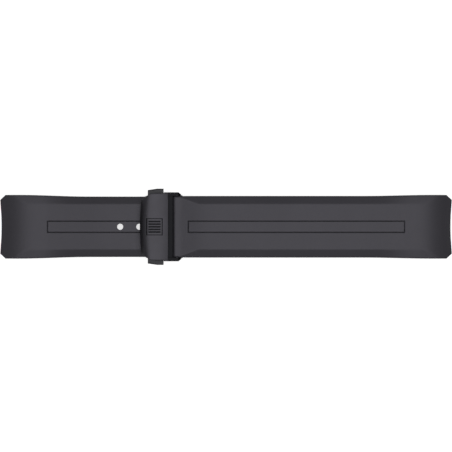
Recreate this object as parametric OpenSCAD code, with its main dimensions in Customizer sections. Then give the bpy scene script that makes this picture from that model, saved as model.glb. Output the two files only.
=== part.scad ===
// Rubber watch strap of two halves, joined by a folding clasp with two push buttons.
// The strap lies along X with its case ends at -X and +X, its outer face up (+Z).
// The origin is on the resting plane, halfway between the two case ends.

/* [Strap] */
// Distance from the clasp's stud to the holed half's case end
holed_reach = 54.65; // [45:0.05:75]
// Distance from the plain half's pivot to its case end
plain_reach = 94.95; // [80:0.05:120]
// Width of each half at the watch case
case_end_w = 22; // [20:0.1:26]
// How much narrower the strap body is than its case ends
body_taper = 0.9; // [0:0.1:3]
// Thickness of the strap body
strap_t = 3.4; // [2.8:0.1:4.2]
// Thickness of the holed half's tail
tail_t = 2.3; // [1.8:0.1:2.8]
// Height that each bevel drops from the flat top to the side wall
bevel_h = 1.35; // [0.6:0.05:1.6]
// Width of each bevel in plan
bevel_w = 2.6; // [1.5:0.1:3.5]
// Chamfer along the strap's lower edges
lower_chamfer = 0.4; // [0.2:0.05:0.6]
// Height of the bow that the plain half takes over the wrist
bow_h = 1.3; // [0:0.1:2.5]

/* [Case ends] */
// Height of the shoulders' underside above the resting plane
shoulder_h = 5.1; // [4:0.1:7]
// Downward slope at the case ends, in degrees
end_slope = 34; // [20:1:40]
// Radius over which the strap rolls down to a case end
end_roll_r = 13.4; // [8:0.1:20]
// Radius of the hollow end face that hugs the watch case
case_r = 110; // [30:1:200]
// Length of the plan chamfer on each case end corner, along the strap
corner_l = 1.9; // [0.8:0.1:3]
// Width of that corner chamfer, across the strap
corner_w = 1.75; // [0.8:0.05:3]
// Distance of the case's spring bar bore from the end tip
bore_inset = 3; // [2.5:0.1:4]
// Diameter of the case's spring bar
case_bar_d = 1.8; // [1.5:0.1:2]

/* [Holes and groove] */
// Diameter of the adjustment holes
hole_d = 2.2; // [1.6:0.1:2.8]
// Distance between the adjustment holes
hole_pitch = 6.6; // [5:0.1:8]
// Number of holes on the tail's side of the stud
tail_holes = 3; // [1:1:4]
// Number of holes outside the clasp
free_holes = 2; // [1:1:3]
// Length of the tail beyond its last hole
tail_end_l = 4.3; // [3:0.1:6]
// Corner radius of the tail's end in plan
tail_corner_r = 4; // [1:0.5:6]
// Width of the moulded groove's line
groove_w = 0.35; // [0.2:0.05:0.5]
// Depth of the moulded groove
groove_d = 0.22; // [0.1:0.01:0.4]
// Half width of the groove's rectangle, to the middle of its line
groove_half = 1.93; // [1.6:0.01:3]
// Distance of the groove's outer end from the case end tip
groove_inset = 16.5; // [12:0.1:22]

/* [Clasp cover] */
// Distance of the cover's rolled edge from the stud
cover_lead = 6.4; // [5.2:0.1:7]
// Length of the cover along the strap
cover_l = 9.8; // [8.8:0.1:11]
// Height of the cover's crown above the resting plane
cover_h = 8.7; // [8.5:0.1:10]
// Distance that the cover stands out beyond the strap body on each side
cover_side = 1.05; // [0.95:0.05:2]
// Height of the rolled edge's curve
roll_h = 4.5; // [3:0.1:4.6]
// Drop of the cover's top towards the plain half
cover_drop = 0.83; // [0.2:0.01:1.2]
// Radius of the rolled edge's bulge in plan
bulge_r = 80; // [28:1:160]
// Length of the rounded plan corners
cover_corner_l = 6.5; // [2:0.1:7]
// Width of the rounded plan corners
cover_corner_w = 2.6; // [1:0.1:2.8]
// Drop of the rounded long edges
shoulder_drop = 1.2; // [0.5:0.1:1.4]
// Thickness of the cover's walls
cover_wall = 1.1; // [0.8:0.1:1.4]
// Thickness of each lug
lug_t = 1.25; // [1:0.05:1.8]
// Length of each lug beyond the pivot
lug_end_l = 1.5; // [0.9:0.05:2]
// Height of the lugs' upper edge
lug_h = 7.5; // [7:0.1:8]
// Length of the badge's square
badge_l = 5.9; // [4:0.1:6]
// Depth of the badge's recess
badge_d = 0.35; // [0.2:0.05:0.5]

/* [Buttons] */
// Length of each button along the strap
button_l = 5.45; // [4:0.05:6]
// Height of each button
button_h = 2.45; // [2:0.05:2.5]
// Distance that each button stands out beyond the cover's side
button_out = 1.56; // [1:0.01:2.4]
// Rake of the buttons' outer faces in plan
button_rake = 0.7; // [0:0.05:1]
// Travel of each button when pressed
button_travel = 0.8; // [0.4:0.05:0.9]
// Number of finger ridges on each button
button_ridges = 5; // [3:1:6]
// Diameter of the guide rods
rod_d = 0.8; // [0.6:0.05:1]
// Wire diameter of the button springs
button_wire_d = 0.26; // [0.2:0.02:0.3]

/* [Blades] */
// Distance from the strap's pivot to the blades' hinge
blade_reach = 30.9; // [26:0.1:40]
// Distance from the clasp's stud to the plain half's pivot
stud_to_pivot = 6.5; // [6.3:0.05:9]
// Width of both blades
blade_w = 16; // [12:0.5:18]
// Thickness of the clasp base and of the lower blade
base_t = 0.9; // [0.8:0.05:1.2]
// Thickness of the upper blade and of the cross plate
blade_t = 0.8; // [0.7:0.05:1]
// Height of the blades' arch
arch_h = 1.2; // [0.6:0.1:2]
// Diameter of the hinge pin
hinge_pin_d = 1.4; // [1:0.1:1.8]
// Width of the hinge's middle knuckle
knuckle_w = 8; // [5:0.5:10]
// Diameter of the flush rivets
rivet_d = 1.2; // [0.8:0.1:1.4]
// Diameter of the stud's shank
stud_d = 2; // [1.4:0.1:2.1]
// Diameter of the stud's head
stud_head_d = 3.2; // [2.6:0.1:3.6]

/* [Spring bar] */
// Outer diameter of the clasp's spring bar tube
bar_d = 1.8; // [1.6:0.1:2]
// Wall of the spring bar tube
bar_wall = 0.35; // [0.25:0.05:0.4]
// Radius of the strap's rounded end around the spring bar
bar_end_r = 1.4; // [1.35:0.05:1.6]
// Diameter of the spring bar's sliding tips
bar_tip_d = 1; // [0.8:0.05:1]
// Depth to which each tip sits in its lug
bar_tip_seat = 0.65; // [0.5:0.05:0.8]
// Travel of each tip when it is pushed in
bar_tip_travel = 0.8; // [0.7:0.05:1]

/* [Hidden] */
$fn = 48;
// Clearances: sliding faces, turning shafts, pressed parts and free surfaces
slide_gap = 0.05;
turn_gap = 0.05;
press_gap = 0.01;
free_gap = 0.15;
blade_clear = 0.3;
side_gap = 0.1;
over = 1;

// Places along the strap
span = holed_reach + stud_to_pivot + plain_reach;
tip_x = span / 2;
stud_x = holed_reach - tip_x;
pivot_x = stud_x + stud_to_pivot;
hinge_x = pivot_x + blade_reach;
cover_x0 = stud_x - cover_lead;
cover_x1 = cover_x0 + cover_l;
tail_x = stud_x + tail_holes * hole_pitch + tail_end_l;

// Levels, from the resting plane up
tail_z = base_t + slide_gap;
tail_top = tail_z + tail_t;
plate_z = tail_top + free_gap;
plate_top = plate_z + blade_t;
pivot_z = plate_top + free_gap + bar_end_r;
strap_top = pivot_z + bar_end_r + bevel_h;
over_blade_z = plate_top + arch_h + blade_clear;
hinge_z = (base_t + plate_z) / 2 - slide_gap;
knuckle_r = plate_top / 2 - slide_gap;

// Half widths
end_half = case_end_w / 2;
strap_half = end_half - body_taper / 2;
cover_half = strap_half + cover_side;
button_reach = cover_half + button_out;
lug_in = strap_half + side_gap;
lug_out = lug_in + lug_t;
blade_half = blade_w / 2;

// Course of the strap halves
widening_l = 20;
bevel_fade_from = 3;
bevel_fade_to = 11;
least_bevel = 0.18;
shallow_from = 9;
shallow_to = 24;
shallow_bevel = 0.74;
ridge_from = 1.1;
ridge_to = 7.4;
dip_lead = 2.4;
mouth_lead = 0.5;
level_run = 3.4;
taper_lead = 9.6;
neck_run = 8.5;
neck_under_run = 6;
free_run = 8;
groove_neck_l = 3.9;
ring_step = 1.2;
end_straight = (shoulder_h - end_roll_r * (1 - cos(end_slope))) / tan(end_slope);
shoulder_x = tip_x - end_straight - end_roll_r * sin(end_slope);
dip_x = dip_lead - shoulder_x;
mouth_x = cover_x0 - mouth_lead;
dip_angle = atan((shoulder_h - tail_z) / (mouth_x - level_run - dip_x));
dip_r = level_run / sin(dip_angle);
taper_x = mouth_x - taper_lead;
holes_x = [for (i = [-free_holes : tail_holes]) stud_x + i * hole_pitch];
groove_tail_x = tail_x - tail_end_l + groove_half;
groove_neck_x = pivot_x + groove_neck_l;

// Inside of the cover
front_wall = 2.9;
roof_t = 1.2;
roof_bend_l = 1.5;
roof_bend_h = 1.9;
cavity_side = 0.55;
crest_share = 0.489;
cavity_x0 = cover_x0 + front_wall;
cavity_x1 = cover_x1 - cover_wall;
cavity_z1 = cover_h - roof_t;
cavity_bend_x = cavity_x0 + roof_bend_l;
cavity_bend_z = cavity_z1 - roof_bend_h;
cavity_half = strap_half - cavity_side;
shell_step = 2;
shell_angle = 7.5;

// Badge
badge_lead = 1.45;
badge_sink = 0.05;
badge_line_w = 0.24;
badge_line_d = 0.17;
badge_lines = 5;
badge_step = 0.6;
badge_x0 = stud_x - badge_l / 2 - badge_lead;

// Latch and catch
button_inset = 0.45;
button_lift = 0.55;
ridge_cut = 0.16;
hook_t = 0.6;
hook_lip = 0.25;
hook_inset = 0.5;
leg_inset = 0.6;
ear_l = 3.5;
ear_t = 0.65;
ear_inset = 0.4;
ear_gap = 0.25;
catch_t = 0.65;
catch_gap = 0.25;
nose_sink = 0.15;
button_x1 = cavity_x1 - button_inset;
button_x0 = button_x1 - button_l;
button_z0 = plate_top + button_lift;
button_z1 = button_z0 + button_h;
hook_out = cavity_half - slide_gap;
hook_in = hook_out - hook_t;
hook_x0 = cavity_bend_x + side_gap;
hook_x1 = cavity_x1 - hook_inset;
ear_x1 = cavity_x1 - ear_inset;
ear_x0 = ear_x1 - ear_l;
ear_out = lug_in + ear_t;
ear_top = button_z0 - ear_gap;
catch_in = hook_out + catch_gap;
nose_top = ear_top - catch_t - side_gap;
nose_bottom = tail_top - nose_sink;

// Guide rods, springs and their bridge
bridge_half = 2.6;
bridge_wall = 0.9;
bridge_h = 2.5;
rod_lift = 1;
button_turns = 7;
screw_d = 0.7;
screw_head_d = 1.1;
screw_head_h = 0.45;
screw_inset = 0.65;
screw_slot_w = 0.16;
bridge_x0 = hook_x0 + side_gap;
bridge_x1 = hook_x1;
bridge_z0 = cavity_z1 - bridge_h;
rod_x = (hook_x0 + hook_x1) / 2;
rod_z = bridge_z0 + rod_lift;
rod_end = bridge_wall + button_travel + 2 * side_gap;
button_coil_r = rod_d / 2 + button_wire_d / 2 + free_gap;
screw_top = cover_top(bridge_x1) - badge_d - free_gap;

// Laps and rivets
lap_l = 3;
lap_join = 0.3;
plate_lead = 2.3;
base_lead = 1.8;
base_lap_lead = 3;
base_lap_l = 3.4;
base_side = 0.65;
base_corner_r = 2;
rivet_y = 5;
plate_x1 = pivot_x + plate_lead;
base_x0 = cover_x0 + base_lead;
base_lap_x = stud_x + base_lap_lead;
base_x1 = base_lap_x + base_lap_l;
base_half = strap_half - base_side;

// Stud
stud_rim_t = 0.25;
stud_head_t = 0.7;

// Spring bar
bar_side = 1.25;
tip_overlap = 2.1;
collar_t = 0.22;
bar_wire_d = 0.2;
bar_turns = 12;
bar_half = strap_half - bar_side;
tip_in = bar_half - tip_overlap;
tip_out = lug_in + bar_tip_seat;
collar_in = bar_half + bar_tip_travel + side_gap;
bar_coil_r = bar_d / 2 - bar_wall - bar_wire_d / 2 - slide_gap;

// Smooth step from 0 to 1
function ease(t) = t <= 0 ? 0 : t >= 1 ? 1 : (1 - cos(180 * t)) / 2;
function mix(a, b, t) = a + (b - a) * t;
// Drop at distance d along a curve of radius r that then runs on straight at angle a
function roll(d, r, a) = d <= 0 ? 0 : d < r * sin(a) ? r - sqrt(r * r - d * d)
    : r * (1 - cos(a)) + (d - r * sin(a)) * tan(a);
function roll_angle(d, r, a) = d <= 0 ? 0 : d < r * sin(a) ? asin(d / r) : a;
function stations(a, b, step) =
    let (n = ceil((b - a) / step)) [for (i = [0 : n]) mix(a, b, i / n)];
// Height of the blades' arch, zero at the cross plate and at the hinge
function arch(x) = let (m = (plate_x1 + hinge_x) / 2, h = (hinge_x - plate_x1) / 2)
    abs(x - m) >= h ? 0 : arch_h * (1 + cos(180 * (x - m) / h)) / 2;

// Half width and bevel share at a place along either half
function half_at(x) = mix(end_half, strap_half, ease((tip_x - abs(x)) / widening_l));
function end_bevel(x) = mix(least_bevel, 1,
    ease((tip_x - abs(x) - bevel_fade_from) / (bevel_fade_to - bevel_fade_from)));
// Share of the bevel's full height, which eases off towards the case ends
function bevel_level(x) = mix(shallow_bevel, 1,
    ease((tip_x - abs(x) - shallow_from) / (shallow_to - shallow_from)));
function end_thick(x) = 1 / cos(roll_angle(abs(x) - shoulder_x, end_roll_r, end_slope));

// Upper and lower face of the holed half
function holed_under(x) = shoulder_h - roll(-shoulder_x - x, end_roll_r, end_slope)
    - roll(x - dip_x, dip_r, dip_angle)
    + roll(x - mouth_x + level_run, dip_r, dip_angle) + arch(x);
function holed_t(x) = mix(strap_t, tail_t, ease((x - dip_x) / (taper_x - dip_x))) * end_thick(x);
function holed_top(x) = holed_under(x) + holed_t(x);

// Upper and lower face of the plain half
function bow(x) = let (t = (x - pivot_x) / (shoulder_x - pivot_x))
    t <= 0 || t >= 1 ? 0 : bow_h * (1 - cos(360 * t)) / 2;
function plain_rise(x) = ease((x - pivot_x) / neck_run);
function plain_drop(x) = roll(x - shoulder_x, end_roll_r, end_slope);
function plain_top(x) = x > shoulder_x ? plain_under(x) + strap_t * end_thick(x)
    : mix(strap_top, shoulder_h + strap_t, ease((x - hinge_x) / (shoulder_x - hinge_x)))
        - bevel_h * (1 - plain_rise(x)) + bow(x);
function plain_under(x) = x < hinge_x
    ? mix(pivot_z - bar_end_r, over_blade_z, ease((x - pivot_x) / neck_under_run)) + bow(x)
    : mix(over_blade_z, shoulder_h, ease((x - hinge_x) / free_run)) + bow(x) - plain_drop(x);
function plain_bevel(x) = mix(least_bevel, end_bevel(x),
    min(1, max(0, (x - pivot_x - ridge_from) / (ridge_to - ridge_from))));

// One cross section of a strap half
function strap_ring(x, half, under, top, bevel) =
    let (c = lower_chamfer, s = top - bevel_h * bevel * bevel_level(x),
        f = half - bevel_w * bevel)
    [[x, c - half, under], [x, -half, under + c], [x, -half, s], [x, -f, top],
     [x, f, top], [x, half, s], [x, half, under + c], [x, half - c, under]];

// Solid through a row of rings that all have the same number of points
module loft(rings) {
    n = len(rings[0]);
    last = len(rings) - 1;
    points = [for (ring = rings) each ring];
    sides = [for (i = [0 : last - 1], j = [0 : n - 1])
        let (a = i * n + j, b = i * n + (j + 1) % n)
        each [[a, b, b + n], [a, b + n, a + n]]];
    first_cap = [for (j = [n - 1 : -1 : 0]) j];
    last_cap = [for (j = [0 : n - 1]) last * n + j];
    polyhedron(points, concat([first_cap], sides, [last_cap]));
}

// Solid with one outline in the XZ plane, from y0 to y1
module slab(outline, y0, y1) {
    translate([0, y1, 0]) rotate([90, 0, 0]) linear_extrude(y1 - y0) polygon(outline);
}

module bar_along_y(r, y0, y1) {
    translate([0, y0, 0]) rotate([-90, 0, 0]) cylinder(r = r, h = y1 - y0);
}

module box(low, high) {
    translate(low) cube(high - low);
}

// The same piece on the front side (s = -1) or on the rear side (s = 1)
module on_side(s) {
    if (s > 0) children();
    else mirror([0, 1, 0]) children();
}

// Coil of round wire along +Y
module coil(coil_r, wire_r, length, turns) {
    sides = 5;
    steps = 10;
    pitch = (length - 2 * wire_r) / turns;
    rings = [for (i = [0 : turns * steps])
        let (a = 360 * i / steps, y = wire_r + pitch * i / steps)
        [for (j = [0 : sides - 1])
            let (b = -360 * j / sides, r = coil_r + wire_r * cos(b))
            [r * cos(a), y + wire_r * sin(b), r * sin(a)]]];
    loft(rings);
}

// Hollow end face, cut corners and spring bar bore of a case end on the +X side
module case_end_cuts() {
    sagitta = case_r - sqrt(pow(case_r, 2) - pow(end_half - corner_w, 2));
    translate([tip_x - sagitta + case_r, 0, -over])
        cylinder(r = case_r, h = 4 * shoulder_h, $fn = 256);
    for (s = [-1, 1])
        translate([0, 0, -over]) linear_extrude(4 * shoulder_h)
            polygon([[tip_x - corner_l, s * end_half], [tip_x + over, s * end_half],
                     [tip_x + over, s * (end_half + over)],
                     [tip_x - corner_l, s * (end_half + over)]]);
    for (s = [-1, 1])
        translate([0, 0, -over]) linear_extrude(4 * shoulder_h)
            polygon([[tip_x - corner_l, s * end_half], [tip_x, s * (end_half - corner_w)],
                     [tip_x + over, s * (end_half - corner_w)], [tip_x + over, s * end_half]]);
}

// Rectangular moulded groove that follows a strap's top face
module groove(x0, x1, top) {
    for (s = [-1, 1]) groove_strip(x0, x1, s * groove_half, top);
    for (x = [x0, x1])
        groove_box(x - groove_w / 2, x + groove_w / 2, -groove_half, groove_half, top);
}

module groove_strip(x0, x1, y, top) {
    loft([for (x = stations(x0, x1, ring_step))
        let (z = top(x) - groove_d, a = y - groove_w / 2, b = y + groove_w / 2)
        [[x, a, z], [x, a, z + over], [x, b, z + over], [x, b, z]]]);
}

module groove_box(x0, x1, y0, y1, top) {
    z = top((x0 + x1) / 2) - groove_d;
    box([x0, y0, z], [x1, y1, z + over]);
}

module holed_strap() color("#2b2b2b") {
    difference() {
        loft([for (x = stations(-tip_x, tail_x, ring_step))
            strap_ring(x, half_at(x), holed_under(x), holed_top(x), end_bevel(x))]);
        mirror([1, 0, 0]) case_end_cuts();
        for (x = holes_x) translate([x, 0, -over]) cylinder(d = hole_d, h = 4 * shoulder_h);
        case_bore(bore_inset - tip_x, holed_under(bore_inset - tip_x));
        for (s = [-1, 1]) tail_corner(s);
        groove(-tip_x + groove_inset, groove_tail_x, function(x) holed_top(x));
    }
}

// Round corner cut at the tail's end
module tail_corner(s) {
    translate([0, 0, -over]) linear_extrude(4 * shoulder_h) difference() {
        translate([tail_x - tail_corner_r, s > 0 ? strap_half - tail_corner_r : -strap_half - over])
            square([tail_corner_r + over, tail_corner_r + over]);
        translate([tail_x - tail_corner_r, s * (strap_half - tail_corner_r)])
            circle(r = tail_corner_r);
    }
}

// Spring bar bore in the middle of the case end's thickness
module case_bore(x, under) {
    translate([x, 0, under + strap_t / cos(end_slope) / 2])
        bar_along_y(case_bar_d / 2 + turn_gap, -end_half - over, end_half + over);
}

module plain_strap() color("#2b2b2b") {
    end_steps = [72, 54, 36, 18];
    round_end = [for (a = end_steps)
        strap_ring(pivot_x - bar_end_r * sin(a), strap_half, pivot_z - bar_end_r * cos(a),
            pivot_z + bar_end_r * cos(a), least_bevel)];
    body = [for (x = stations(pivot_x, tip_x, ring_step))
        strap_ring(x, half_at(x), plain_under(x), plain_top(x), plain_bevel(x))];
    difference() {
        loft(concat(round_end, body));
        case_end_cuts();
        case_bore(tip_x - bore_inset, plain_under(tip_x - bore_inset));
        translate([pivot_x, 0, pivot_z])
            bar_along_y(bar_d / 2 + turn_gap, -strap_half - over, strap_half + over);
        groove(groove_neck_x, tip_x - groove_inset, function(x) plain_top(x));
    }
}

// Distance of the cover's rolled edge from its foremost point, at plan angle a of the corner
function cover_edge(y, a) = cover_x0 + y * y / (2 * bulge_r) + cover_corner_l * (1 - cos(a));
function cover_crest(edge) = mix(edge, cover_x1, crest_share);
// Height of the cover's top along its middle line
function cover_top(x) = let (crest = cover_crest(cover_x0), run = crest - cover_x0)
    x < crest ? cover_h - roll_h + roll_h * sqrt(1 - pow((crest - x) / run, 2))
              : cover_h - cover_drop * pow((x - crest) / (cover_x1 - crest), 2);

// Outline of the cover at one place across the strap
function cover_ring(y, a) =
    let (edge = cover_edge(y, a), crest = cover_crest(edge), run = crest - edge,
        sink = shoulder_drop * (1 - cos(a)), foot = cover_h - roll_h)
    concat([[edge, y, plate_z], [cover_x1, y, plate_z]],
        [for (t = [1 : -0.2 : 0.1])
            [mix(crest, cover_x1, t), y, cover_h - sink - cover_drop * t * t]],
        [for (b = [90 : -shell_angle : 0])
            [crest - run * cos(b), y, foot + (roll_h - sink) * sin(b)]]);

module cover_shell() {
    flat = cover_half - cover_corner_w;
    inner = [for (y = stations(-flat, flat, shell_step)) [y, 0]];
    outer = [for (a = [shell_angle : shell_angle : 90 - shell_angle])
        [flat + cover_corner_w * sin(a), a]];
    rows = concat([for (i = [len(outer) - 1 : -1 : 0]) [-outer[i][0], outer[i][1]]],
        inner, outer);
    loft([for (row = rows) cover_ring(row[0], row[1])]);
}

// Side plate that carries the spring bar's tip, on the rear side
module lug() {
    x1 = pivot_x + lug_end_l;
    x0 = button_x1 + free_gap;
    r = lug_end_l;
    intersection() {
        translate([0, lug_out, 0]) rotate([90, 0, 0]) linear_extrude(lug_t) {
            translate([x0, plate_z]) square([x1 - x0 - r, lug_h - plate_z]);
            translate([x0, plate_z + r]) square([x1 - x0, lug_h - plate_z - 2 * r]);
            for (z = [plate_z + r, lug_h - r]) translate([x1 - r, z]) circle(r = r);
        }
        linear_extrude(2 * lug_h)
            polygon([[x0, 0], [x1, 0], [x1, lug_out - r], [x1 - r, lug_out], [x0, lug_out]]);
    }
}

module clasp_cover() color("#333333") {
    difference() {
        union() {
            cover_shell();
            for (s = [-1, 1]) on_side(s) lug();
            cross_plate();
        }
        cover_cavity();
        for (s = [-1, 1]) on_side(s) {
            button_window();
            ear_recess();
            translate([pivot_x, 0, pivot_z])
                bar_along_y(bar_tip_d / 2 + turn_gap, lug_in - over, tip_out + turn_gap);
        }
        badge_recess();
        bridge_screw_set(press_gap);
        upper_rivet_set(press_gap);
    }
}

// Plate between the lugs, under the plain half's rounded end
module cross_plate() {
    box([cavity_x1, -lug_in, plate_z], [plate_x1 - lap_l, lug_in, plate_top]);
    box([cavity_x1, -lug_in, plate_z + blade_t / 2], [plate_x1, lug_in, plate_top]);
}

module cover_cavity() {
    slab([[cavity_x0, plate_z - over], [cavity_x0, cavity_bend_z], [cavity_bend_x, cavity_z1],
          [cavity_x1, cavity_z1], [cavity_x1, plate_z - over]], -cavity_half, cavity_half);
}

module button_window() {
    box([button_x0 - slide_gap, cavity_half - over, button_z0 - slide_gap],
        [button_x1 + slide_gap, lug_out + over, button_z1 + slide_gap]);
}

// Room for the base's ear and catch, below the button
module ear_recess() {
    box([ear_x0 - 2 * side_gap, hook_out - slide_gap, plate_z - over],
        [ear_x1 + 2 * side_gap, lug_out + over, ear_top + free_gap]);
}

// Outline of the cover's rolled top along the badge, from depth below it to rise above it
function badge_outline(depth, rise) = let (xs = stations(badge_x0, badge_x0 + badge_l, badge_step))
    concat([for (x = xs) [x, cover_top(x) + rise]],
        [for (i = [len(xs) - 1 : -1 : 0]) [xs[i], cover_top(xs[i]) - depth]]);

module badge_recess() {
    slab(badge_outline(badge_d, over), -badge_l / 2 - press_gap, badge_l / 2 + press_gap);
}

module cover_badge() color("#262626") {
    pitch = badge_l / (badge_lines + 1);
    difference() {
        slab(badge_outline(badge_d - press_gap, -badge_sink), -badge_l / 2, badge_l / 2);
        for (i = [1 : badge_lines])
            slab(badge_outline(badge_line_d, over), i * pitch - (badge_l + badge_line_w) / 2,
                i * pitch - (badge_l - badge_line_w) / 2);
    }
}

module button(s) on_side(s) color("#1c1c1c") {
    difference() {
        linear_extrude_between(button_z0, button_z1)
            polygon([[button_x0, cavity_half], [button_x0, button_reach - button_rake],
                     [button_x1, button_reach], [button_x1, cavity_half]]);
        for (i = [1 : button_ridges])
            translate([0, 0, button_z0 + i * button_h / (button_ridges + 1)])
                ridge_valley();
    }
    box([hook_x0, hook_out, button_z0], [hook_x1, cavity_half + slide_gap, button_z1]);
}

// Straight valley between two finger ridges, along the raked outer face
module ridge_valley() {
    slope = button_rake / button_l;
    x0 = button_x0 - over;
    x1 = button_x1 + over;
    y0 = button_reach - button_rake - slope * over;
    y1 = button_reach + slope * over;
    linear_extrude(ridge_cut, center = true)
        polygon([[x0, y0 - ridge_cut], [x0, button_reach + over],
                 [x1, button_reach + over], [x1, y1 - ridge_cut]]);
}

module linear_extrude_between(z0, z1) {
    translate([0, 0, z0]) linear_extrude(z1 - z0) children();
}

module latch_hook(s) on_side(s) color("#5a5c60") {
    leg_x0 = ear_x0 + leg_inset;
    leg_x1 = ear_x1 - leg_inset;
    difference() {
        union() {
            box([hook_x0, hook_in, button_z0], [hook_x1, hook_out, button_z1 + hook_lip]);
            box([leg_x0, hook_in, nose_bottom], [leg_x1, hook_out, button_z0 + slide_gap]);
            box([leg_x0, hook_in, nose_bottom], [leg_x1, catch_in - slide_gap, nose_top]);
        }
        translate([rod_x, 0, rod_z]) bar_along_y(rod_d / 2 + press_gap, 0, lug_out);
    }
}

module guide_rod(s) on_side(s) color("#8a8d92") {
    translate([rod_x, 0, rod_z]) bar_along_y(rod_d / 2, rod_end, hook_out);
}

module button_spring(s) on_side(s) color("#9a9da2") {
    translate([rod_x, bridge_half + slide_gap, rod_z])
        coil(button_coil_r, button_wire_d / 2, hook_in - bridge_half - 2 * slide_gap,
            button_turns);
}

module spring_bridge() color("#5a5c60") {
    difference() {
        box([bridge_x0, -bridge_half, bridge_z0], [bridge_x1, bridge_half, cavity_z1]);
        for (s = [-1, 1]) on_side(s)
            translate([rod_x, 0, rod_z])
                bar_along_y(rod_d / 2 + turn_gap, bridge_wall, bridge_half + over);
        bridge_screw_set(press_gap);
    }
}

// The two screws that hold the bridge to the cover's roof, grown by gap
module bridge_screw_set(gap) {
    for (x = [bridge_x0 + screw_inset, bridge_x1 - screw_inset])
        translate([x, 0, bridge_z0]) {
            cylinder(d = screw_d + 2 * gap, h = screw_top + gap - bridge_z0);
            translate([0, 0, gap > 0 ? -over : 0])
                cylinder(d = screw_head_d + 2 * gap, h = screw_head_h + (gap > 0 ? over : 0));
        }
}

module bridge_screws() color("#8a8d92") {
    difference() {
        bridge_screw_set(0);
        for (x = [bridge_x0 + screw_inset, bridge_x1 - screw_inset])
            translate([x, 0, bridge_z0])
                cube([screw_slot_w, 2 * screw_head_d, screw_head_h], center = true);
    }
}

// Curved strip between two levels that follows the blades' arch
function blade_outline(x0, x1, z0, z1) = let (xs = stations(x0, x1, ring_step))
    concat([for (x = xs) [x, z0 + arch(x)]],
        [for (i = [len(xs) - 1 : -1 : 0]) [xs[i], z1 + arch(xs[i])]]);

module upper_rivet_set(gap) {
    for (y = [-rivet_y, rivet_y])
        translate([plate_x1 - lap_l / 2, y, plate_z - (gap > 0 ? over : 0)])
            cylinder(d = rivet_d + 2 * gap, h = blade_t + (gap > 0 ? 2 * over : 0));
}

module lower_rivet_set(gap) {
    for (y = [-rivet_y, 0, rivet_y])
        translate([(base_lap_x + base_x1) / 2, y, gap > 0 ? -over : 0])
            cylinder(d = rivet_d + 2 * gap, h = base_t + (gap > 0 ? 2 * over : 0));
}

module upper_blade() color("#3c3e42") {
    lap_x0 = plate_x1 - lap_l + side_gap;
    difference() {
        union() {
            box([lap_x0, -blade_half, plate_z],
                [plate_x1 + lap_join, blade_half, plate_z + blade_t / 2 - press_gap]);
            slab(blade_outline(plate_x1 + side_gap, hinge_x, plate_z, plate_top),
                -blade_half, blade_half);
            translate([hinge_x, 0, hinge_z]) bar_along_y(knuckle_r, -knuckle_w / 2, knuckle_w / 2);
        }
        for (s = [-1, 1]) on_side(s)
            box([hinge_x - knuckle_r - 2 * side_gap, knuckle_w / 2, 0],
                [hinge_x + over, blade_half + over, plate_top + over]);
        translate([hinge_x, 0, hinge_z])
            bar_along_y(hinge_pin_d / 2 + turn_gap, -blade_half, blade_half);
        upper_rivet_set(press_gap);
    }
}

module upper_blade_rivets() color("#8a8d92") upper_rivet_set(0);

module lower_blade() color("#3c3e42") {
    mid = knuckle_w / 2 + side_gap;
    difference() {
        union() {
            box([base_lap_x + side_gap, -blade_half, 0],
                [base_x1 + lap_join, blade_half, base_t / 2 - press_gap]);
            slab(blade_outline(base_x1 + side_gap, hinge_x, 0, base_t), -blade_half, blade_half);
            for (s = [-1, 1]) on_side(s)
                translate([hinge_x, 0, hinge_z]) bar_along_y(knuckle_r, mid, blade_half);
        }
        box([hinge_x - knuckle_r - 2 * side_gap, -mid, -over],
            [hinge_x + over, mid, plate_top]);
        translate([hinge_x, 0, hinge_z])
            bar_along_y(hinge_pin_d / 2 + press_gap, -blade_half - over, blade_half + over);
        lower_rivet_set(press_gap);
    }
}

module lower_blade_rivets() color("#8a8d92") lower_rivet_set(0);

module hinge_pin() color("#8a8d92") {
    translate([hinge_x, 0, hinge_z]) bar_along_y(hinge_pin_d / 2, -blade_half, blade_half);
}

module clasp_base() color("#333333") {
    difference() {
        union() {
            linear_extrude(base_t) {
                translate([base_x0 + base_corner_r, -base_half])
                    square([base_lap_x - base_x0 - base_corner_r, 2 * base_half]);
                translate([base_x0, base_corner_r - base_half])
                    square([base_corner_r, 2 * (base_half - base_corner_r)]);
                for (s = [-1, 1])
                    translate([base_x0 + base_corner_r, s * (base_half - base_corner_r)])
                        circle(r = base_corner_r);
            }
            box([base_lap_x - slide_gap, -base_half, base_t / 2], [base_x1, base_half, base_t]);
            for (s = [-1, 1]) on_side(s) {
                box([ear_x0, base_half - over, 0], [ear_x1, ear_out, base_t]);
                box([ear_x0, lug_in, 0], [ear_x1, ear_out, ear_top]);
                box([ear_x0, catch_in, ear_top - catch_t], [ear_x1, ear_out, ear_top]);
            }
        }
        translate([stud_x, 0, -over]) cylinder(d = stud_d + 2 * press_gap, h = base_t + 2 * over);
        lower_rivet_set(press_gap);
    }
}

module strap_stud() color("#8a8d92") {
    head_z = tail_top + slide_gap;
    translate([stud_x, 0, 0]) rotate_extrude()
        polygon([[0, 0], [stud_d / 2, 0], [stud_d / 2, head_z], [stud_head_d / 2, head_z],
                 [stud_head_d / 2, head_z + stud_rim_t], [stud_d / 2, head_z + stud_head_t],
                 [0, head_z + stud_head_t]]);
}

module spring_bar_tube() color("#8a8d92") {
    translate([pivot_x, 0, pivot_z]) difference() {
        bar_along_y(bar_d / 2, -bar_half, bar_half);
        bar_along_y(bar_d / 2 - bar_wall, -bar_half - over, bar_half + over);
    }
}

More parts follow.
